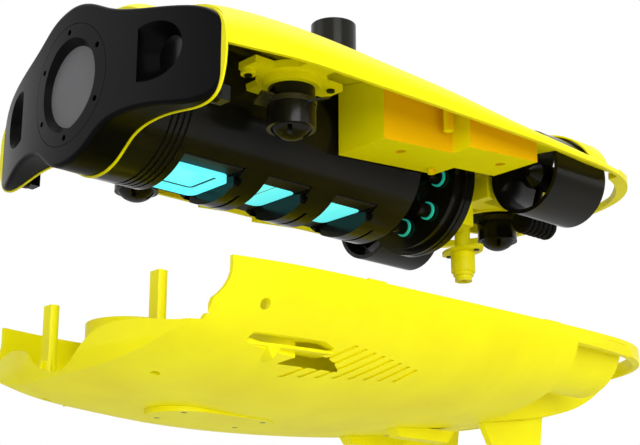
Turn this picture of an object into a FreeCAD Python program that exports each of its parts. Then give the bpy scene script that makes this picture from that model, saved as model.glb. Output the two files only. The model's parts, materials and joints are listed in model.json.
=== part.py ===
# Underwater inspection vehicle, shown with its lower shell dropped clear of the upper assembly.
# Frame: X to port, Y aft, Z up, millimetres. The origin is under the middle, at the lowest face.
# Inside the functions a station is counted aft from the front corner of the hull's rim, and a
# height from the rim plane where the two shells meet.
import FreeCAD, Part
import math
import os

os.makedirs("parts", exist_ok=True)
V = FreeCAD.Vector

nose_reach = 24.0
tail_station = 361.0
shell_lift = 104.4
wall = 2.4
belly_depth = 57.0
touch_gap = 0.3
run_gap = 0.05
nose_plan_radius = 255.0
nose_rear = -2.4
nose_round = 2.5
keel_half = 44.0
flank_front = 246.0

tube_height = 3.0
tube_radius = 44.0
tube_bore = 39.5
tube_front = 28.0
tube_rear = 192.0
neck_radius = 20.0
neck_rear = 226.0
plate_rear = 242.0
plate_bore = 25.0
flat_height = -28.8
pocket_stations = ((31.0, 71.0), (88.0, 119.0), (138.0, 170.0))
window_stations = ((33.5, 67.0), (89.0, 118.0), (139.0, 169.0))
window_half = 17.5

lift_x = 70.6
lift_station = 69.0
rear_lift_station = 310.0
can_radius = 13.0
can_bottom = -24.4
can_top = -2.0
shaft_radius = 2.0
blade_radius = 20.5
rear_blade_radius = 24.5
blade_height = -4.5
ring_inner = 23.5
ring_outer = 26.0
ring_top = 5.0

drive_x = 70.0
drive_height = 1.0
drive_front = 256.0
drive_rear = 302.0
drive_radius = 26.0
drive_bore = 23.4
hub_radius = 8.5
propeller_radius = 22.2
cradle_inner = drive_radius + 0.5
cradle_outer = cradle_inner + wall

bezel_radius = 33.0
window_radius = 25.0
window_front = -19.6
light_x = 67.4
light_height = 3.5
socket_station = 163.0
socket_radius = 14.0
socket_top = 93.0
hatch_spots = ((12, 48), (-12, 48), (12, 100), (-12, 100))
lock_station = 275.5
post_x = 49.2
post_station = 3.4

rim_plan = ((0, 104.0), (40, 111.2), (90, 113.0), (150, 113.0), (220, 113.0), (270, 111.0),
            (300, 107.0), (320, 99.0), (331, 91.0), (345, 74.0), (352, 58.0), (358, 34.0))
loft_plan = ((-40, 98.0),) + rim_plan[:7] + ((330, 103.0), (372, 80.0))
keel_line = ((-40, 41.0), (-20, 44.0), (0, 50.0), (30, 53.5), (70, 56.2), (130, 56.2), (180, 53.4),
             (226, 49.0), (270, 43.0), (300, 38.0), (330, 29.0), (350, 18.0), (372, 4.0))
wing_line = ((-40, 34.0), (0, 34.0), (11, 36.0), (40, 35.0), (77, 33.5), (120, 30.0), (151, 27.5),
             (184, 22.5), (218, 17.0), (273, 12.0), (302, 11.0), (372, 7.0))
spine_line = ((-40, 46.0), (0, 46.0), (15, 52.0), (240, 52.0), (290, 40.0), (330, 25.0), (372, 5.0))
nose_outline = ((20, 42.5), (31, 37), (53, 30), (80, 24.5), (95, 19), (103.5, 10), (105.5, 0),
                (104.5, -14), (99, -25), (85, -28), (70, -26), (45, -24.5), (30, -28), (18, -36))


def at_line(line, station):
    for (s0, v0), (s1, v1) in zip(line, line[1:]):
        if station <= s1:
            return v0 + (v1 - v0) * (station - s0) / (s1 - s0)
    return line[-1][1]


def rod(radius, x, s, low, high):
    return Part.makeCylinder(radius, high - low, V(x, s, low))


def axle(radius, x, h, front, rear):
    return Part.makeCylinder(radius, rear - front, V(x, front, h), V(0, 1, 0))


def cone_y(front_radius, rear_radius, x, h, front, rear):
    return Part.makeCone(front_radius, rear_radius, rear - front, V(x, front, h), V(0, 1, 0))


def box(x0, x1, s0, s1, h0, h1):
    return Part.makeBox(x1 - x0, s1 - s0, h1 - h0, V(x0, s0, h0))


def join(shapes):
    whole = shapes[0]
    if len(shapes) > 1:
        whole = whole.fuse(shapes[1:])
    return whole.removeSplitter()


def mirrored(shape):
    return shape.mirror(V(0, 0, 0), V(1, 0, 0))


def pair(shape):
    return [shape, mirrored(shape)]


def smooth_line(points):
    curve = Part.BSplineCurve()
    curve.interpolate([V(*p) for p in points])
    return curve.toShape()


def prism_y(points, front, rear):
    outline = [V(x, front, h) for x, h in points]
    face = Part.Face(Part.makePolygon(outline + [outline[0]]))
    return face.extrude(V(0, rear - front, 0))


def prism_z(points, low, high):
    outline = [V(x, s, low) for x, s in points]
    face = Part.Face(Part.makePolygon(outline + [outline[0]]))
    return face.extrude(V(0, 0, high - low))


def prism_x(points, x0, x1):
    outline = [V(x0, s, h) for s, h in points]
    face = Part.Face(Part.makePolygon(outline + [outline[0]]))
    return face.extrude(V(x1 - x0, 0, 0))


def hull_section(half, station, edge):
    row = [(x, station, h) for x, h in half] + [(-x, station, h) for x, h in reversed(half[:-1])]
    first = V(*row[0])
    last = V(*row[-1])
    lines = [smooth_line(row)]
    lines.append(Part.makeLine(last, last + V(0, 0, edge)))
    lines.append(Part.makeLine(last + V(0, 0, edge), first + V(0, 0, edge)))
    lines.append(Part.makeLine(first + V(0, 0, edge), first))
    return Part.Wire(lines)


def lower_half(station, inset):
    width = at_line(loft_plan, station) - inset
    depth = at_line(keel_line, station) - inset
    row = []
    for share in (1.0, 0.985, 0.93, 0.84, 0.70, 0.53, 0.35, 0.17, 0.0):
        row.append((share * width, -depth * (1 - share ** 2.5) ** 0.4))
    return row


def upper_half(station, inset):
    width = at_line(loft_plan, station) - inset
    wing = at_line(wing_line, station)
    spine = at_line(spine_line, station)
    row = []
    for share in (1.0, 0.985, 0.95, 0.88, 0.78, 0.66, 0.54, 0.42, 0.30, 0.15, 0.0):
        side = wing * (1 - share ** 3) ** (1 / 3)
        crest = spine * math.exp(-(share * (width + inset) / 48) ** 2.6)
        row.append((share * width, max(0.0, (side ** 3 + crest ** 3) ** (1 / 3) - inset * (1 - share ** 12))))
    return row


def lower_loft(inset, edge):
    stations = (-40, -20, 0, 30, 70, 130, 180, 226, 270, 300, 330, 350, 372)
    return Part.makeLoft([hull_section(lower_half(s, inset), s, edge) for s in stations], True)


def upper_loft(inset, edge):
    stations = (-40, 0, 15, 40, 77, 120, 151, 184, 218, 250, 273, 302, 330, 372)
    return Part.makeLoft([hull_section(upper_half(s, inset), s, edge) for s in stations], True)


def plan_prism(inset, low, high):
    half = [(w - inset, s) for s, w in rim_plan]
    row = [(x, s, low) for x, s in half] + [(0, tail_station - inset, low)]
    row += [(-x, s, low) for x, s in reversed(half)]
    front = [V(half[0][0], 0, low), V(half[0][0], -40, low), V(-half[0][0], -40, low), V(-half[0][0], 0, low)]
    edges = [smooth_line(row)]
    edges.append(Part.makeLine(front[3], front[2]))
    edges.append(Part.makeLine(front[2], front[1]))
    edges.append(Part.makeLine(front[1], front[0]))
    return Part.Face(Part.Wire(edges)).extrude(V(0, 0, high - low))


def bow_body(inset):
    centre = nose_plan_radius - nose_reach
    profile = ((255, -32), (254, -39), (250, -44.5), (240, -49), (222, -53), (190, -56.5), (150, -58.5))
    points = [V(0, centre - (r - inset), h + inset * (h < -40)) for r, h in profile]
    curve = Part.BSplineCurve()
    curve.interpolate(points)
    base = V(0, centre, points[-1].z)
    top = V(0, centre, 2)
    edge = V(0, centre - (nose_plan_radius - inset), 2)
    wire = Part.Wire([Part.makeLine(edge, points[0]), curve.toShape(), Part.makeLine(points[-1], base),
                      Part.makeLine(base, top), Part.makeLine(top, edge)])
    dome = Part.Face(wire).revolve(V(0, centre, 0), V(0, 0, 1), 360)
    return dome.fuse(box(-130, 130, 80, 380, -60, 2))


def lip_prism():
    half = [(104.0, 0), (103.0, -7), (99.5, -14), (93, -20), (85, -24.5), (76, -26.8), (66, -27.2),
            (54, -27.0), (45, -28.2), (35, -31.5), (26, -36), (16, -40.5), (0, -43)]
    points = [V(x, -60, h) for x, h in half] + [V(-x, -60, h) for x, h in reversed(half[:-1])]
    curve = Part.BSplineCurve()
    curve.interpolate(points)
    corners = [points[-1], V(-140, -60, 0), V(-140, -60, 20), V(140, -60, 20), V(140, -60, 0), points[0]]
    edges = [curve.toShape()] + [Part.makeLine(a, b) for a, b in zip(corners, corners[1:])]
    return Part.Face(Part.Wire(edges)).extrude(V(0, 61.0, 0))


def front_corner():
    curve = ((5.5, 6), (5.5, -7.5), (4.8, -11), (3.4, -14.5), (1.2, -17.8), (-1.5, -20.5), (-6, -23.6), (-12, -26))
    return prism_x(curve + ((-60, -26), (-60, 6)), 82, 130)


def louvre(n):
    low = 57 + 9.4 * n
    high = 84 + 6.7 * n
    base = -46 + 0.55 * n
    head = -31 - 0.75 * n
    return prism_x(((low, base), (low + 2.6, base), (high + 2.6, head), (high, head)), 70, 130)


def lower_shell():
    outer = lower_loft(0, 8).common(plan_prism(0, -80, 0)).common(bow_body(0))
    inner = lower_loft(wall, 12).common(plan_prism(wall, -80, 5)).common(bow_body(wall).fuse(box(-120, 120, -20, 400, 0, 6)))
    flank = box(keel_half, 140, flank_front, 380, -80, -8.5)
    flank_in = box(keel_half - wall, 140, flank_front - wall, 380, -80, 12)
    outer = outer.cut(pair(flank)[0]).cut(pair(flank)[1])
    inner = inner.cut(pair(flank_in)[0]).cut(pair(flank_in)[1])
    shell = outer.cut(inner)
    band = plan_prism(0, -8.5, 0).cut(plan_prism(5.0, -10, 2))
    side = box(keel_half - wall, 140, flank_front, 380, -8.5, 0)
    wing = box(keel_half, 130, flank_front, 380, -9, 2).cut(band)
    shell = shell.cut(pair(wing)[0]).cut(pair(wing)[1])
    deck = side.common(plan_prism(0, -8.5, 0)).common(box(keel_half - wall, 140, 262, 303, -wall, 0))
    cup = axle(cradle_outer, drive_x, drive_height, 262, 303).common(box(30, 120, 200, 380, -80, 0))
    added = pair(deck) + pair(cup)
    post = rod(4.3, post_x, post_station, -50, 2.7)
    web = prism_y(((post_x, -10), (post_x + 10, -46), (post_x - 10, -46)), post_station - 1, post_station + 1)
    rib = prism_x(((post_station, -10), (post_station + 10, -46), (post_station - 10, -46)), post_x - 1, post_x + 1)
    room = bow_body(1.0).fuse(box(-120, 120, -20, 400, 0, 6))
    added += pair(join([post, web, rib]).common(lower_loft(1.0, 12).common(room)))
    ring = rod(ring_outer, lift_x, lift_station, -60, ring_top).common(lower_loft(1.0, 12))
    added += pair(ring)
    shell = shell.fuse(added)
    cuts = pair(rod(ring_inner, lift_x, lift_station, -42, 10))
    cuts += pair(axle(cradle_inner, drive_x, drive_height, 255, 310))
    outlet = ((26, -31.5), (66, -31.5), (73, -33.5), (72, -36.0), (60, -40), (45, -41), (24, -35.0))
    cuts += pair(prism_x(outlet, 90, 130))
    cuts += pair(Part.makeCylinder(2.6, 30, V(90, 25, -20), V(1, 0, 0)))
    cuts.append(rod(8.0, 0, lock_station, -80, -20))
    cuts.append(lip_prism())
    cuts += pair(box(80, 95, -10, 14, -26.5, 10))
    cuts.append(nose_face(1.4, -60, nose_rear + 1.6))
    cuts += pair(front_corner())
    cuts += pair(rod(2.4, post_x, post_station, -70, -34))
    skin = lower_loft(0.8, 12)
    for n in range(8):
        cuts += pair(louvre(n).cut(skin))
    for cutter in cuts:
        shell = shell.cut(cutter)
    return shell


def keel_skids():
    wedge = prism_x(((186, -50), (192, -57), (231, -57), (237, -50)), 16, 24)
    return join(pair(wedge.cut(lower_loft(-0.05, 8))))


def keel_fins():
    fin = prism_x(((245, -40), (255, -57), (296, -57), (300, -54), (304, -30)), 33, 37)
    return join(pair(fin.cut(lower_loft(-0.05, 8))))


def belly_hatch():
    plan = join([box(-20, 20, 56, 92, -57, -53), rod(20, 0, 56, -57, -53), rod(20, 0, 92, -57, -53)])
    return plan.cut(lower_loft(-0.05, 8)).cut([rod(1.8, x, s, -58, -55.8) for x, s in hatch_spots])


def hatch_screws():
    return join([rod(1.8, x, s, -56.9, -55.8) for x, s in hatch_spots])


def rim_clips():
    clip = box(108.5, 110.1, 86, 98, -6, 1.6)
    aft = box(107.9, 109.5, 221, 234, -6, 1.6)
    return join(pair(clip) + pair(aft))


def top_shell():
    outer = upper_loft(0, -8).common(plan_prism(0, 0, 90)).common(box(-130, 130, 0, 380, 0, 90))
    inner = upper_loft(wall, -8).common(plan_prism(wall, -5, 90)).common(box(-130, 130, -5, 380, -5, 90))
    shell = outer.cut(inner)
    inner_edge = plan_prism(9, -5, 60)
    loop = inner_edge.common(box(46, 130, 304, 380, -5, 60))
    cuts = pair(loop)
    cuts += pair(axle(drive_radius + touch_gap, drive_x, drive_height, drive_front - 1, drive_rear + 2))
    cuts.append(rod(socket_radius + 2, 0, socket_station, 20, 90))
    floor = plan_prism(0, 0, 4.0).common(box(-130, 130, 304, 380, 0, 4)).cut(plan_prism(9, -1, 5))
    shell = shell.fuse([floor])
    shell = shell.cut(cuts)
    return shell.removeSplitter()


def nose_face(grow, front, rear):
    half = [(x, h) for x, h in nose_outline]
    row = [(0, 47)] + half + [(0, -41)] + [(-x, h) for x, h in reversed(half)]
    across = 1 + grow / 106
    upright = 1 + grow / 36
    curve = Part.BSplineCurve()
    curve.interpolate([V(x * across, front, h * upright) for x, h in row], PeriodicFlag=True)
    return Part.Face(Part.Wire(curve.toShape())).extrude(V(0, rear - front, 0))


def nose_fairing():
    front = rod(nose_plan_radius, 0, nose_plan_radius - nose_reach, -80, 80)
    body = nose_face(0, -40, nose_rear).common(front)
    rim = [e for e in body.Edges if e.BoundBox.YMin < -3 and e.Length > 60]
    body = body.makeFillet(nose_round, rim)
    cuts = [axle(bezel_radius + touch_gap, 0, tube_height, -40, window_front + 4.0)]
    cuts.append(axle(22.5, 0, tube_height, -40, 0))
    mouth = Part.Wire(Part.Ellipse(V(0, 0, 0), 23, 17).toShape())
    mouth.rotate(V(0, 0, 0), V(1, 0, 0), 90)
    mouth.translate(V(light_x, -18, light_height))
    throat = Part.Wire(Part.Circle(V(light_x, -6, light_height), V(0, -1, 0), 10).toShape())
    funnel = Part.makeLoft([mouth, throat], True)
    cuts += pair(funnel)
    cuts += pair(axle(10, light_x, light_height, -7, 0))
    return body.cut(cuts)


def nose_gasket():
    return nose_face(0.9, nose_rear, -1.2).cut(nose_face(-3.0, nose_rear - 1, 0))


def camera_bezel():
    front = rod(nose_plan_radius, 0, nose_plan_radius - nose_reach, -80, 80)
    ring = axle(bezel_radius, 0, tube_height, -30, window_front).common(front)
    ring = ring.cut(cone_y(26, 22, 0, tube_height, -24.5, window_front))
    return ring.cut([axle(1.6, x, h, -30, -10) for x, h in bezel_holes()])


def bezel_holes():
    row = []
    for n in range(6):
        angle = math.radians(30 + 60 * n)
        row.append((29.3 * math.cos(angle), tube_height + 29.3 * math.sin(angle)))
    return row


def bezel_screws():
    return join([axle(1.6, x, h, -21.0, window_front + 4.0) for x, h in bezel_holes()])


def camera_window():
    return axle(27, 0, tube_height, window_front, window_front + 4.0)


def camera_module():
    body = [axle(16, 0, tube_height, window_front + 4.0, 6), axle(21, 0, tube_height, -2.0, 10)]
    return join(body).cut(axle(9, 0, tube_height, -20, -11))


def light_reflectors():
    return join(pair(axle(10 - touch_gap / 3, light_x, light_height, -4.4, nose_rear)))


def light_lenses():
    return join(pair(axle(9.7, light_x, light_height, -6.0, -4.4)))


def light_boards():
    return join(pair(axle(13, light_x, light_height, nose_rear, -0.6)))


def front_cap():
    body = axle(tube_radius, 0, tube_height, nose_rear + 1.2, tube_front).cut(axle(22, 0, tube_height, -10, 40))
    cuts = []
    for s in (14.5, 18.0, 21.5, 25.0):
        cuts.append(axle(50, 0, tube_height, s, s + 1.4).cut(axle(42.4, 0, tube_height, s - 1, s + 3)))
    return body.cut(cuts)


def front_orings():
    rings = []
    for s in (14.5, 18.0, 21.5, 25.0):
        rings.append(axle(43.2, 0, tube_height, s, s + 1.4).cut(axle(42.4, 0, tube_height, s - 1, s + 3)))
    return join(rings)


def main_housing():
    body = axle(tube_radius, 0, tube_height, tube_front, tube_rear)
    cuts = [box(-50, 50, a, b, -60, flat_height) for a, b in pocket_stations]
    bore = axle(tube_bore, 0, tube_height, tube_front - 1, tube_rear + 1)
    cuts.append(bore.common(box(-60, 60, 0, 300, flat_height + wall, 60)))
    for a, b in ((71.0, 88.0), (119.0, 138.0), (170.0, 192.0)):
        middle = (a + b) / 2
        cuts.append(box(-24, 24, middle - 1, middle + 1, -60, -38.5))
        cuts += pair(box(20, 25, a - 1, a + 3, -60, -31))
    return body.cut(cuts)


def window_trays():
    plates = [box(-29, 29, a + 0.5, b - 0.5, flat_height - 0.8, flat_height) for a, b in pocket_stations]
    return join(plates)


def battery_windows():
    plates = []
    for a, b in window_stations:
        plate = box(-window_half, window_half, a, b, flat_height - 1.5, flat_height - 0.8)
        plates.append(plate.makeFillet(5.0, [e for e in plate.Edges if abs(e.Length - 0.7) < 0.01]))
    return join(plates)


def battery_pack():
    return box(-25, 25, 40, 176, flat_height + wall, 8)


def electronics_board():
    plate = box(-31, 31, 36, 182, 8, 10)
    return join([plate, box(-20, 14, 60, 110, 10, 20), box(-10, 22, 124, 160, 10, 17)])


def rear_neck():
    body = axle(neck_radius, 0, tube_height, tube_rear, neck_rear)
    body = body.fuse(axle(tube_radius - 2, 0, tube_height, tube_rear, tube_rear + 4))
    return body.cut(axle(neck_radius - 4, 0, tube_height, 180, 240)).removeSplitter()


def connector_plate():
    body = [axle(44.0, 0, tube_height, 232, 238), axle(41.0, 0, tube_height, neck_rear, 234),
            axle(42.5, 0, tube_height, 238, plate_rear)]
    cuts = [axle(60, 0, tube_height, s, s + 1.2).cut(axle(42.6, 0, tube_height, s - 1, s + 3)) for s in (234.2,)]
    return join(body).cut(cuts)


def penetrator_spots():
    row = []
    for n in range(8):
        angle = math.radians(-5 - 45 * n)
        row.append((28.0 * math.cos(angle), tube_height + 28.0 * math.sin(angle)))
    return row


def penetrators():
    return join([axle(4.6, x, h, 214, neck_rear) for x, h in penetrator_spots()])


def penetrator_rings():
    rings = []
    for x, h in penetrator_spots():
        rings.append(axle(5.6, x, h, 223.5, 225).cut(axle(4.6, x, h, 215, 230)))
    return Part.makeCompound(rings)


def rear_oring():
    return axle(43.4, 0, tube_height, 234.2, 235.4).cut(axle(42.6, 0, tube_height, 230, 240))


def port_foam():
    plan = ((47, 124), (83.5, 124), (83.5, 178), (97, 178), (97, 236), (63, 236), (63, 201), (47, 201))
    block = prism_z(plan, -40, 60)
    slope = math.tan(math.radians(4.5))
    under = prism_x(((100, -15.2), (260, -15.2 + 160 * slope), (260, -60), (100, -60)), -130, 130)
    block = block.common(upper_loft(wall + 0.3, -60)).common(plan_prism(wall + 0.6, -60, 90)).cut(under)
    block = block.cut(rod(3.0, 70, 150, -30, -6)).cut(rod(3.0, 82, 220, -30, 0))
    return block.cut(axle(tube_radius + 0.3, 0, tube_height, 100, 260))


def foam_bosses():
    boss = rod(2.9, 90, 168, 0, 40).common(upper_loft(wall + touch_gap, -60))
    return join(pair(boss) + pair(rod(2.2, 55, 190, -11.5, -8.6)))


def port_lift_mount():
    tiers = [rod(15.5, lift_x, lift_station, 4, 9), rod(19, lift_x, lift_station, 9, 13)]
    tiers.append(box(38, lift_x, lift_station - 9, lift_station + 9, 9, 13))
    tiers.append(box(lift_x, 104, lift_station - 9, lift_station + 9, 9, 13))
    tiers.append(box(lift_x - 7, lift_x + 7, lift_station - 30, lift_station + 30, 9, 13))
    tiers.append(rod(4, lift_x - 4, lift_station - 26, 6.4, 13))
    body = join(tiers).common(upper_loft(wall + 0.3, -60)).cut(rod(shaft_radius + 2, lift_x, lift_station, 0, 40))
    return body.cut(axle(tube_radius + 0.3, 0, tube_height, 0, 260))


def lift_stators():
    body = rod(12.5, lift_x, lift_station, -1.6, 4).fuse(rod(shaft_radius + 1.98, lift_x, lift_station, 4, 13))
    return join(pair(body.cut(rod(shaft_radius + run_gap, lift_x, lift_station, -10, 8))))


def mount_screws():
    return join(pair(rod(2.2, lift_x - 4, lift_station - 26, 5.6, 6.4)) + pair(rod(2.2, lift_x + 4, lift_station + 24, 7.8, 9)))


def lift_can(x, station):
    body = rod(can_radius, x, station, can_bottom + 6, can_top)
    dome = Part.makeSphere(can_radius, V(x, station, can_bottom + can_radius))
    body = body.fuse(dome.common(rod(20, x, station, -60, can_bottom + 6.5)))
    slots = []
    for n in range(4):
        slot = box(x + 6, x + 10.5, station - 1.2, station + 1.2, -40, can_bottom + 9)
        slots.append(slot.rotate(V(x, station, 0), V(0, 0, 1), 90 * n + 45))
    body = body.cut(slots)
    return body.fuse(rod(shaft_radius, x, station, can_top - 1, 6)).removeSplitter()


def lift_blades(x, station, height, tip):
    blades = []
    for n in range(3):
        blade = box(can_radius - 0.5, tip, -5, 5, -0.6, 0.6)
        blade.rotate(V(0, 0, 0), V(1, 0, 0), 22)
        blade.rotate(V(0, 0, 0), V(0, 0, 1), 120 * n + 20)
        blade.translate(V(x, station, height))
        blades.append(blade)
    ring = rod(can_radius + 0.4, x, station, height - 1.5, height + 1.5)
    body = ring.fuse(blades).cut(rod(can_radius + 0.01, x, station, height - 10, height + 10))
    return body.removeSplitter()


def rear_shroud():
    s = rear_lift_station
    ring = rod(29, 0, s, -5, 14).cut(rod(26.5, 0, s, -10, 20))
    arms = [box(-40, 40, 256, 262, -8, 6), box(-22, -9, 262, 292, -4, 8), box(9, 22, 262, 292, -4, 8)]
    arms.append(box(-22, 22, 262, 290, 8, 14))
    cross = box(-28, 28, s - 3, s + 3, 8, 12)
    neck = box(-22, 22, plate_rear, 262, -22, 26)
    body = join([ring, cross] + arms + [neck, rod(6, 0, s, 4, 14)])
    body = body.cut(rod(shaft_radius + 2, 0, s, -20, 40)).cut(rod(rear_blade_radius + 1.5, 0, s, -30, 5.5))
    body = body.cut(pair(axle(drive_radius + touch_gap, drive_x, drive_height, 240, 320)))
    return body.common(upper_loft(wall + 0.3, -60)).cut(rod(5.0, 0, lock_station, -40, 14))


def rear_stator():
    s = rear_lift_station
    body = rod(12.5, 0, s, -1.6, 4).fuse(rod(shaft_radius + 1.98, 0, s, 4, 14))
    return body.cut(rod(shaft_radius + run_gap, 0, s, -10, 8))


def port_duct():
    shell = axle(drive_radius, drive_x, drive_height, drive_front, drive_rear)
    shell = shell.cut(axle(drive_bore, drive_x, drive_height, drive_front - 1, drive_rear + 1))
    hub = axle(hub_radius, drive_x, drive_height, 284, 300)
    vanes = []
    for n in range(4):
        vane = box(drive_x - 1, drive_x + 1, 286, 298, drive_height, drive_height + drive_bore + 0.8)
        vanes.append(vane.rotate(V(drive_x, 0, drive_height), V(0, 1, 0), 90 * n + 45))
    lug = box(drive_x - 40, drive_x - drive_bore, 262, 274, drive_height + 3, drive_height + 7)
    body = join([shell, hub] + vanes + [lug.cut(axle(drive_bore, drive_x, drive_height, 200, 330))])
    return body.cut(axle(shaft_radius + run_gap, drive_x, drive_height, 280, 296))


def propeller():
    body = axle(hub_radius, drive_x, drive_height, 264, 283.6)
    body = body.fuse(cone_y(2.5, hub_radius, drive_x, drive_height, 259, 264))
    blades = []
    for n in range(4):
        blade = box(-5, 5, -0.9, 0.9, hub_radius - 2, propeller_radius)
        blade.rotate(V(0, 0, 0), V(0, 0, 1), 35)
        blade.rotate(V(0, 0, 0), V(0, 1, 0), 90 * n + 20)
        blade.translate(V(drive_x, 273, drive_height))
        blades.append(blade)
    body = body.fuse(blades + [axle(shaft_radius, drive_x, drive_height, 283, 295)])
    return body.removeSplitter()


def rear_glands():
    spots = ((250, 8), (250, -12))
    return join([part for s, h in spots for part in pair(Part.makeCylinder(4.5, 3, V(22, s, h), V(1, 0, 0)))])


def lock_fitting():
    s = lock_station
    parts = [rod(5, 0, s, -33, 8), rod(7, 0, s, -46, -30), rod(5.5, 0, s, -51.4, -44)]
    bar = join([box(-12, 12, s - 4.5, s + 4.5, -32, -29.5), rod(4.5, 12, s, -32, -29.5), rod(4.5, -12, s, -32, -29.5)])
    return join(parts + [bar]).cut(rod(3.0, 0, s, -60, -42))


def fitting_screws():
    return join(pair(rod(1.8, 12, lock_station, -33.2, -32)))


def tether_socket():
    s = socket_station
    body = rod(socket_radius + 1.7, 0, s, tube_height + tube_radius + 0.1, 62).fuse(rod(socket_radius, 0, s, 62, 84))
    return body.cut(rod(6, 0, s, 70, 90))


def tether_collar():
    s = socket_station
    body = rod(socket_radius, 0, s, 84, socket_top).cut(rod(6, 0, s, 83, socket_top - 4))
    return body


def nose_latches():
    latch = join([axle(5.5, 88, -20, nose_rear, 6), box(84, 92, 2, 12, -24, -16)])
    return join(pair(latch))


def lower(shape):
    return shape.translated(V(0, nose_reach - (nose_reach + tail_station) / 2, belly_depth))


def upper(shape):
    return lower(shape).translated(V(0, 0, shell_lift))


def save(name, shape):
    print(name, "valid" if shape.isValid() else "INVALID", len(shape.Solids), round(shape.Volume))
    shape.exportStep("parts/" + name + ".step")


for name, shape in (
        ("lower_shell", lower_shell()),
        ("keel_skids", keel_skids()),
        ("keel_fins", keel_fins()),
        ("belly_hatch", belly_hatch()),
        ("hatch_screws", hatch_screws()),
        ("rim_clips", rim_clips())):
    save(name, lower(shape))

for name, shape in (
        ("top_shell", top_shell()),
        ("nose_fairing", nose_fairing()),
        ("nose_gasket", nose_gasket()),
        ("camera_bezel", camera_bezel()),
        ("bezel_screws", bezel_screws()),
        ("camera_window", camera_window()),
        ("camera_module", camera_module()),
        ("light_reflectors", light_reflectors()),
        ("light_lenses", light_lenses()),
        ("light_boards", light_boards()),
        ("nose_latches", nose_latches()),
        ("front_cap", front_cap()),
        ("front_orings", front_orings()),
        ("main_housing", main_housing()),
        ("window_trays", window_trays()),
        ("battery_windows", battery_windows()),
        ("battery_pack", battery_pack()),
        ("electronics_board", electronics_board()),
        ("rear_neck", rear_neck()),
        ("connector_plate", connector_plate()),
        ("penetrators", penetrators()),
        ("penetrator_rings", penetrator_rings()),
        ("rear_oring", rear_oring()),
        ("port_foam", port_foam()),
        ("starboard_foam", mirrored(port_foam())),
        ("foam_bosses", foam_bosses()),
        ("port_lift_mount", port_lift_mount()),
        ("starboard_lift_mount", mirrored(port_lift_mount())),
        ("lift_stators", lift_stators()),
        ("mount_screws", mount_screws()),
        ("rear_shroud", rear_shroud()),
        ("rear_stator", rear_stator()),
        ("port_duct", port_duct()),
        ("starboard_duct", mirrored(port_duct())),
        ("rear_glands", rear_glands()),
        ("lock_fitting", lock_fitting()),
        ("fitting_screws", fitting_screws()),
        ("tether_socket", tether_socket()),
        ("tether_collar", tether_collar()),
        ("port_lift_can", lift_can(lift_x, lift_station)),
        ("port_lift_blades", lift_blades(lift_x, lift_station, blade_height, blade_radius)),
        ("starboard_lift_can", lift_can(-lift_x, lift_station)),
        ("starboard_lift_blades", lift_blades(-lift_x, lift_station, blade_height, blade_radius)),
        ("rear_lift_can", lift_can(0, rear_lift_station)),
        ("rear_lift_blades", lift_blades(0, rear_lift_station, blade_height, rear_blade_radius)),
        ("port_propeller", propeller()),
        ("starboard_propeller", mirrored(propeller()))):
    save(name, upper(shape))
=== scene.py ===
import bpy, bmesh, json, math
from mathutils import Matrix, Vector


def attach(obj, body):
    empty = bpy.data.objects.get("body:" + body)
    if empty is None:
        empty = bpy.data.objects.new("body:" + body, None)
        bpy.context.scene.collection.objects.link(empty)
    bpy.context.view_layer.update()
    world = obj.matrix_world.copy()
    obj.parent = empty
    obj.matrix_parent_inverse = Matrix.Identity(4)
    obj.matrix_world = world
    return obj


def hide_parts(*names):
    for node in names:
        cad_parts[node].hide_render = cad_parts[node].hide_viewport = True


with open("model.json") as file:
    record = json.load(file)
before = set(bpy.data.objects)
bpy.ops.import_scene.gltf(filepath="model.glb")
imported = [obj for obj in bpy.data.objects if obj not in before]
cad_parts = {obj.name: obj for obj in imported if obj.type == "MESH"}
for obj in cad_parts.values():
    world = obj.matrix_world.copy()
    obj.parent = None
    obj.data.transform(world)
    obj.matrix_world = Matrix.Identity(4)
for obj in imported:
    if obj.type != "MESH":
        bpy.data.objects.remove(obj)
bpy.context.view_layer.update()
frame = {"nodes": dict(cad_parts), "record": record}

# Where the hull stands in the frame, in metres: station 0 is the rim's front corner and
# height 0 is the rim plane of each shell.
hull = dict(station0=-0.1685, lowerRim=0.057, upperRim=0.1614)


def atLower(x, station, height):
    return Vector((x, hull["station0"] + station, hull["lowerRim"] + height))


def atUpper(x, station, height):
    return Vector((x, hull["station0"] + station, hull["upperRim"] + height))


# ---------- camera, light and background ----------
view = dict(place=(0.5913, -0.5428, -0.1131), azimuth=48.34, elevation=-16.74, lens=78.75)


def makeCamera():
    data = bpy.data.cameras.new("studioCamera")
    cam = bpy.data.objects.new("studioCamera", data)
    bpy.context.collection.objects.link(cam)
    data.lens = view["lens"]
    data.clip_start = 0.02
    az, el = math.radians(view["azimuth"]), math.radians(view["elevation"])
    back = Vector((math.sin(az) * math.cos(el), -math.cos(az) * math.cos(el), math.sin(el)))
    cam.location = view["place"]
    cam.rotation_euler = back.to_track_quat("Z", "Y").to_euler()
    bpy.context.scene.camera = cam


lamps = [
    dict(name="portKey", at=(2.2, -0.9, 0.5), size=1.6, watts=38),
    dict(name="frontSoft", at=(-1.0, -2.2, 0.7), size=1.4, watts=7),
    dict(name="underSoft", at=(0.9, -0.2, -1.6), size=2.0, watts=13),
    dict(name="topSoft", at=(0.3, 0.4, 2.4), size=2.0, watts=34),
]


def makeLamps():
    for lamp in lamps:
        data = bpy.data.lights.new(lamp["name"], "AREA")
        data.size = lamp["size"]
        data.energy = lamp["watts"]
        ob = bpy.data.objects.new(lamp["name"], data)
        bpy.context.collection.objects.link(ob)
        ob.location = lamp["at"]
        aim = Vector((0, 0, 0.13)) - ob.location
        ob.rotation_euler = aim.to_track_quat("-Z", "Y").to_euler()


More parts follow.
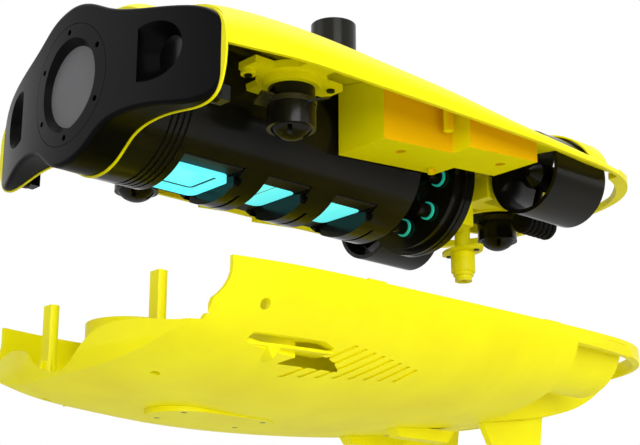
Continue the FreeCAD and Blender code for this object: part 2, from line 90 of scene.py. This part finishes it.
def makeWorld():
    # white where it is looked at, mirrored or seen through glass, and dimmer as a light
    world = bpy.data.worlds.new("studio")
    bpy.context.scene.world = world
    world.use_nodes = True
    nodes, links = world.node_tree.nodes, world.node_tree.links
    dim = nodes["Background"]
    dim.inputs["Color"].default_value = (1, 1, 1, 1)
    dim.inputs["Strength"].default_value = 0.36
    white = nodes.new("ShaderNodeBackground")
    white.inputs["Color"].default_value = (1, 1, 1, 1)
    path = nodes.new("ShaderNodeLightPath")
    seen = nodes.new("ShaderNodeMath")
    seen.operation = "MAXIMUM"
    either = nodes.new("ShaderNodeMath")
    either.operation = "MAXIMUM"
    links.new(path.outputs["Is Camera Ray"], seen.inputs[0])
    links.new(path.outputs["Is Transmission Ray"], seen.inputs[1])
    links.new(seen.outputs[0], either.inputs[0])
    links.new(path.outputs["Is Glossy Ray"], either.inputs[1])
    mix = nodes.new("ShaderNodeMixShader")
    links.new(either.outputs[0], mix.inputs[0])
    links.new(dim.outputs[0], mix.inputs[1])
    links.new(white.outputs[0], mix.inputs[2])
    links.new(mix.outputs[0], nodes["World Output"].inputs["Surface"])


floorPlan = dict(height=-0.75, size=60.0)


def makeFloor():
    bpy.ops.mesh.primitive_plane_add(size=floorPlan["size"], location=(0, 0, floorPlan["height"]))
    floor = bpy.context.object
    floor.name = "studioFloor"
    floor.data.materials.append(material("paleFloor", color=(0.86, 0.86, 0.86), roughness=0.8))


# ---------- materials ----------
def grainGroup():
    group = bpy.data.node_groups.new("mouldGrain", "ShaderNodeTree")
    face = group.interface
    face.new_socket("Scale", in_out="INPUT", socket_type="NodeSocketFloat")
    face.new_socket("Depth", in_out="INPUT", socket_type="NodeSocketFloat")
    face.new_socket("Tone", in_out="INPUT", socket_type="NodeSocketColor")
    face.new_socket("Shade", in_out="INPUT", socket_type="NodeSocketColor")
    face.new_socket("Rough", in_out="INPUT", socket_type="NodeSocketFloat")
    face.new_socket("Color", in_out="OUTPUT", socket_type="NodeSocketColor")
    face.new_socket("Roughness", in_out="OUTPUT", socket_type="NodeSocketFloat")
    face.new_socket("Normal", in_out="OUTPUT", socket_type="NodeSocketVector")
    n, l = group.nodes, group.links
    inp = n.new("NodeGroupInput")
    out = n.new("NodeGroupOutput")
    coord = n.new("ShaderNodeTexCoord")
    fine = n.new("ShaderNodeTexNoise")
    fine.inputs["Detail"].default_value = 4
    l.new(coord.outputs["Object"], fine.inputs["Vector"])
    l.new(inp.outputs["Scale"], fine.inputs["Scale"])
    broad = n.new("ShaderNodeTexNoise")
    broad.inputs["Scale"].default_value = 22
    broad.inputs["Detail"].default_value = 3
    l.new(coord.outputs["Object"], broad.inputs["Vector"])
    cloud = n.new("ShaderNodeMapRange")
    cloud.inputs["From Min"].default_value = 0.35
    cloud.inputs["From Max"].default_value = 0.75
    l.new(broad.outputs["Fac"], cloud.inputs["Value"])
    mix = n.new("ShaderNodeMix")
    mix.data_type = "RGBA"
    l.new(cloud.outputs["Result"], mix.inputs["Factor"])
    l.new(inp.outputs["Tone"], mix.inputs["A"])
    l.new(inp.outputs["Shade"], mix.inputs["B"])
    l.new(mix.outputs["Result"], out.inputs["Color"])
    vary = n.new("ShaderNodeMath")
    vary.operation = "MULTIPLY_ADD"
    vary.inputs[1].default_value = 0.16
    l.new(fine.outputs["Fac"], vary.inputs[0])
    l.new(inp.outputs["Rough"], vary.inputs[2])
    l.new(vary.outputs[0], out.inputs["Roughness"])
    bump = n.new("ShaderNodeBump")
    bump.inputs["Strength"].default_value = 0.35
    l.new(fine.outputs["Fac"], bump.inputs["Height"])
    l.new(inp.outputs["Depth"], bump.inputs["Distance"])
    l.new(bump.outputs["Normal"], out.inputs["Normal"])
    return group


def material(name, color, shade=None, roughness=0.5, scale=900.0, depth=0.00004, sides=None, **plain):
    mat = bpy.data.materials.new(name)
    mat.use_nodes = True
    n, l = mat.node_tree.nodes, mat.node_tree.links
    shader = n["Principled BSDF"]
    grain = n.new("ShaderNodeGroup")
    grain.node_tree = bpy.data.node_groups.get("mouldGrain") or grainGroup()
    grain.inputs["Scale"].default_value = scale
    grain.inputs["Depth"].default_value = depth
    grain.inputs["Tone"].default_value = (*color, 1)
    grain.inputs["Shade"].default_value = (*(shade or color), 1)
    grain.inputs["Rough"].default_value = roughness - 0.08
    if sides:
        # painted shade: faces that look to the side, along X, are mixed towards a darker orange that
        # stands in for the shade they get under the shell's rim
        facing = n.new("ShaderNodeNewGeometry")
        split = n.new("ShaderNodeSeparateXYZ")
        l.new(facing.outputs["Normal"], split.inputs[0])
        amount = n.new("ShaderNodeMath")
        amount.operation = "ABSOLUTE"
        l.new(split.outputs["X"], amount.inputs[0])
        paintedSideShade = n.new("ShaderNodeMix")
        paintedSideShade.data_type = "RGBA"
        paintedSideShade.inputs["B"].default_value = (*sides, 1)
        l.new(amount.outputs[0], paintedSideShade.inputs["Factor"])
        l.new(grain.outputs["Color"], paintedSideShade.inputs["A"])
        l.new(paintedSideShade.outputs["Result"], shader.inputs["Base Color"])
    else:
        l.new(grain.outputs["Color"], shader.inputs["Base Color"])
    l.new(grain.outputs["Roughness"], shader.inputs["Roughness"])
    l.new(grain.outputs["Normal"], shader.inputs["Normal"])
    for key, value in plain.items():
        shader.inputs[key].default_value = value
    return mat


finishes = {
    "yellow_shell": dict(color=(0.98, 0.91, 0.0), shade=(0.90, 0.80, 0.0), roughness=0.45, scale=1500.0,
                         depth=0.00009, **{"Specular IOR Level": 0.2}),
    # the foam's side colour is painted shade: its X-facing faces turn orange for the shade under the top
    # shell's rim
    "yellow_foam": dict(color=(0.98, 0.92, 0.0), shade=(0.94, 0.82, 0.0), roughness=0.8, scale=800.0,
                        depth=0.00025, sides=(0.86, 0.48, 0.0), **{"Specular IOR Level": 0.05}),
    "black_nose": dict(color=(0.0012, 0.0012, 0.0014), shade=(0.0022, 0.0022, 0.0024), roughness=0.34,
                       **{"Specular IOR Level": 0.06}),
    "black_gloss": dict(color=(0.004, 0.004, 0.003), shade=(0.009, 0.008, 0.004), roughness=0.2,
                        **{"Specular IOR Level": 0.2}),
    "smoke_blade": dict(color=(0.02, 0.02, 0.008), shade=(0.035, 0.03, 0.01), roughness=0.25),
    "window_glass": dict(color=(0.10, 0.10, 0.105), shade=(0.12, 0.12, 0.125), roughness=0.35,
                         **{"Specular IOR Level": 0.2}),
    "lens_clear": dict(color=(0.003, 0.003, 0.003), shade=(0.006, 0.006, 0.006), roughness=0.15,
                       **{"Specular IOR Level": 0.2}),
    "black_rubber": dict(color=(0.003, 0.003, 0.003), shade=(0.006, 0.006, 0.006), roughness=0.6,
                         **{"Specular IOR Level": 0.12}),
    # painted glow: the teal rubber rings emit a little light though they are no lamp
    "teal_rubber": dict(color=(0.03, 0.75, 0.55), shade=(0.02, 0.6, 0.42), roughness=0.4,
                        **{"Emission Color": (0.03, 0.8, 0.6, 1), "Emission Strength": 0.2}),
    "dark_screw": dict(color=(0.02, 0.02, 0.02), shade=(0.04, 0.04, 0.04), roughness=0.35, Metallic=0.8),
    "grey_gland": dict(color=(0.42, 0.42, 0.42), shade=(0.36, 0.36, 0.36), roughness=0.45),
    "reflector": dict(color=(0.01, 0.01, 0.01), shade=(0.02, 0.02, 0.02), roughness=0.25, Metallic=0.9),
    "board": dict(color=(0.01, 0.03, 0.02), shade=(0.02, 0.05, 0.03), roughness=0.6),
    "tray": dict(color=(0.016, 0.015, 0.012), shade=(0.024, 0.022, 0.018), roughness=0.5,
                 **{"Specular IOR Level": 0.15}),
    # painted glow: the cyan battery cells emit light though they are no lamp
    "cyan_cell": dict(color=(0.03, 0.40, 0.50), shade=(0.06, 0.45, 0.55), roughness=0.3,
                      **{"Emission Color": (0.16, 0.95, 1.0, 1), "Emission Strength": 0.85}),
    "cell_wrap": dict(color=(0.02, 0.02, 0.02), shade=(0.03, 0.03, 0.03), roughness=0.5),
}


def dressNodes():
    made = {}
    for entry in frame["record"]["subparts"]:
        slot, node = entry["material_slot"], entry["node"]
        if slot not in made:
            made[slot] = material(slot, **finishes[slot])
        mesh = frame["nodes"][node].data
        mesh.materials.clear()
        mesh.materials.append(made[slot])
    return made


print("stage: materials")
paint = dressNodes()


# ---------- ways to make a piece ----------
def only(*pieces):
    bpy.ops.object.select_all(action="DESELECT")
    for piece in pieces:
        piece.select_set(True)
    bpy.context.view_layer.objects.active = pieces[0]


def rod(at, radius, length, turn=(0, 0, 0), sides=40):
    bpy.ops.mesh.primitive_cone_add(vertices=sides, radius1=radius, radius2=radius,
                                    depth=length, location=at, rotation=turn)
    return bpy.context.object


def block(low, high):
    middle = (Vector(low) + Vector(high)) / 2
    bpy.ops.mesh.primitive_cube_add(size=1, location=middle)
    made = bpy.context.object
    made.scale = Vector(high) - Vector(low)
    return made


def band(at, radius, thick, turn):
    bpy.ops.mesh.primitive_torus_add(major_radius=radius, minor_radius=thick, major_segments=72,
                                     minor_segments=12, location=at, rotation=turn)
    return bpy.context.object


def slab(outline, start, end):
    # an outline of (station, height) pairs, drawn out along X
    mesh = bpy.data.meshes.new("slab")
    shape = bmesh.new()
    corners = [shape.verts.new((start, s, h)) for s, h in outline]
    face = shape.faces.new(corners)
    grown = bmesh.ops.extrude_face_region(shape, geom=[face])
    for vert in [g for g in grown["geom"] if isinstance(g, bmesh.types.BMVert)]:
        vert.co.x = end
    bmesh.ops.recalc_face_normals(shape, faces=shape.faces)
    shape.to_mesh(mesh)
    shape.free()
    made = bpy.data.objects.new("slab", mesh)
    bpy.context.collection.objects.link(made)
    return made


def settled(made):
    only(made)
    bpy.ops.object.transform_apply(location=True, rotation=True, scale=True)
    return made


def joined(parts):
    only(*parts)
    bpy.ops.object.join()
    return settled(bpy.context.object)


def softened(made, width, segments=2):
    only(made)
    bevel = made.modifiers.new("soft", "BEVEL")
    bevel.width = width
    bevel.segments = segments
    bevel.limit_method = "ANGLE"
    bpy.ops.object.modifier_apply(modifier=bevel.name)
    return made


def flipped(made):
    # the starboard twin of a port piece
    only(made)
    bpy.ops.object.duplicate()
    twin = bpy.context.object
    twin.scale = (-1, 1, 1)
    settled(twin)
    bpy.ops.object.mode_set(mode="EDIT")
    bpy.ops.mesh.select_all(action="SELECT")
    bpy.ops.mesh.normals_make_consistent(inside=False)
    bpy.ops.object.mode_set(mode="OBJECT")
    return twin


creaseAngle = 32


def finished(made, name, slotName, body):
    made.name = name
    made.data.name = name
    only(made)
    bpy.ops.object.shade_smooth_by_angle(angle=math.radians(creaseAngle))
    made.data.materials.clear()
    made.data.materials.append(paint[slotName])
    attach(made, body)
    return made


alongY = (math.pi / 2, 0, 0)


# ---------- lower shell: side vanes ----------
mm = 0.001


def shellPoints(outline):
    return [(hull["station0"] + s * mm, hull["lowerRim"] + h * mm) for s, h in outline]


vaneLook = dict(plan=((84, 20), (88.6, 20), (92.6, 40), (95.4, 60), (97.0, 74), (84, 74)),
                base=-36.2, thick=1.7, web=((36, -34.8), (46, -34.8), (40, -42.5)),
                webStart=84, webEnd=92.4, edge=0.4)


def makeVanes():
    look = vaneLook
    mesh = bpy.data.meshes.new("vane")
    shape = bmesh.new()
    corners = [shape.verts.new(atLower(x * mm, s * mm, look["base"] * mm)) for x, s in look["plan"]]
    face = shape.faces.new(corners)
    grown = bmesh.ops.extrude_face_region(shape, geom=[face])
    for vert in [g for g in grown["geom"] if isinstance(g, bmesh.types.BMVert)]:
        vert.co.z += look["thick"] * mm
    bmesh.ops.recalc_face_normals(shape, faces=shape.faces)
    shape.to_mesh(mesh)
    shape.free()
    vane = bpy.data.objects.new("vane", mesh)
    bpy.context.collection.objects.link(vane)
    web = slab(shellPoints(look["web"]), look["webStart"] * mm, look["webEnd"] * mm)
    port = softened(joined([vane, web]), look["edge"] * mm)
    starboard = flipped(port)
    return finished(joined([port, starboard]), "sideVanes", "yellow_shell", "lower_hull")


print("stage: lower hull")
makeVanes()


# ---------- top shell: covers over the drive ducts ----------
coverLook = dict(x=70, height=1, radius=27.2, thick=1.3, front=271, rear=304,
                 low=14, high=146, slope=0.45, ahead=0.011)


def makeDuctCovers():
    look = coverLook
    middle = atUpper(look["x"] * mm, (look["front"] + look["rear"]) / 2 * mm, look["height"] * mm)
    bpy.ops.mesh.primitive_cylinder_add(vertices=128, radius=look["radius"] * mm,
                                        depth=(look["rear"] - look["front"]) * mm, end_fill_type="NOTHING",
                                        location=middle, rotation=alongY)
    cover = settled(bpy.context.object)
    bpy.ops.object.mode_set(mode="EDIT")
    for turn, sign in ((look["low"], 1), (look["high"], -1)):
        a = math.radians(turn)
        bpy.ops.mesh.select_all(action="SELECT")
        bpy.ops.mesh.bisect(plane_co=middle, plane_no=(sign * math.sin(a), 0, -sign * math.cos(a)),
                            clear_outer=True)
    bpy.ops.mesh.select_all(action="SELECT")
    bpy.ops.mesh.bisect(plane_co=middle - Vector((0, look["ahead"], 0)), plane_no=(look["slope"], -1, 0),
                        clear_outer=True)
    bpy.ops.object.mode_set(mode="OBJECT")
    wallOf = cover.modifiers.new("wall", "SOLIDIFY")
    wallOf.thickness = look["thick"] * mm
    wallOf.offset = 1
    bpy.ops.object.modifier_apply(modifier=wallOf.name)
    softened(cover, 0.4 * mm)
    return finished(joined([cover, flipped(cover)]), "ductCovers", "yellow_shell", "upper_assembly")


# ---------- cyan battery windows, rounded and seamed ----------
windowLook = dict(half=17.6, low=-28.7, thick=1.0, corner=5,
                  spans=((33.4, 70.6), (88.6, 118.6), (138.6, 169.6)), edge=0.25, upright=0.5,
                  seamStart=13.6, seamEnd=14.1, seamProud=0.08)


def makeWindows():
    look = windowLook
    panes = []
    for front, rear in look["spans"]:
        pane = block(atUpper(-look["half"] * mm, front * mm, (look["low"] - look["thick"]) * mm),
                     atUpper(look["half"] * mm, rear * mm, look["low"] * mm))
        settled(pane)
        bpy.ops.object.mode_set(mode="EDIT")
        bpy.ops.mesh.select_all(action="DESELECT")
        bpy.ops.object.mode_set(mode="OBJECT")
        mesh = pane.data
        for edge in mesh.edges:
            a, b = (mesh.vertices[i].co for i in edge.vertices)
            edge.select = abs(a.z - b.z) > look["upright"] * mm
        bpy.ops.object.mode_set(mode="EDIT")
        bpy.ops.mesh.select_mode(type="EDGE")
        bpy.ops.mesh.bevel(offset=look["corner"] * mm, segments=8, affect="EDGES")
        bpy.ops.object.mode_set(mode="OBJECT")
        panes.append(pane)
    panel = softened(joined(panes), look["edge"] * mm)
    front = look["spans"][1][0]
    seamFoot = look["low"] - look["thick"] - look["seamProud"]
    seam = block(atUpper(-look["half"] * mm, (front + look["seamStart"]) * mm, seamFoot * mm),
                 atUpper(look["half"] * mm, (front + look["seamEnd"]) * mm, look["low"] * mm))
    finished(settled(seam), "cellSeam", "black_rubber", "upper_assembly")
    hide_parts("battery_windows")
    return finished(panel, "batteryWindows", "cyan_cell", "upper_assembly")


# ---------- lock fitting's collar and the cable gland behind it ----------
collarLook = dict(station=275.5, radius=7.8, top=-32.4, foot=-45.6, flange=2.4, wide=15.5, deep=9.5)


def makeLockCollar():
    look = collarLook
    s = look["station"] * mm
    body = rod(atUpper(0, s, (look["top"] + look["foot"]) / 2 * mm), look["radius"] * mm,
               (look["top"] - look["foot"]) * mm, sides=64)
    plate = rod(atUpper(0, s, (look["top"] + look["flange"] / 2) * mm), look["wide"] * mm,
                look["flange"] * mm, sides=72)
    plate.scale = (1, look["deep"] / look["wide"], 1)
    tip = rod(atUpper(0, s, (look["foot"] - 1.2) * mm), (look["radius"] - 1.2) * mm, 2.4 * mm, sides=64)
    parts = [softened(settled(p), 0.45 * mm) for p in (body, plate, tip)]
    return finished(joined(parts), "lockCollar", "yellow_shell", "upper_assembly")


glandLook = dict(x=31, height=-12.6, front=300, pitch=4.6, rings=6, radius=8.4, core=6.6)


def makeTailGland():
    look = glandLook
    length = look["pitch"] * (look["rings"] - 1)
    at = atUpper(look["x"] * mm, (look["front"] + length / 2) * mm, look["height"] * mm)
    parts = [settled(rod(at, look["core"] * mm, (length + 6) * mm, alongY, sides=48))]
    for n in range(look["rings"]):
        spot = atUpper(look["x"] * mm, (look["front"] + look["pitch"] * n) * mm, look["height"] * mm)
        parts.append(settled(band(spot, (look["radius"] - 2.2) * mm, 2.2 * mm, alongY)))
    return finished(joined(parts), "tailGland", "black_rubber", "upper_assembly")


print("stage: upper assembly")
makeDuctCovers()
makeWindows()
makeLockCollar()
makeTailGland()
print("stage: studio")
bpy.context.scene.view_settings.view_transform = "Standard"
makeCamera()
makeLamps()
makeWorld()
makeFloor()
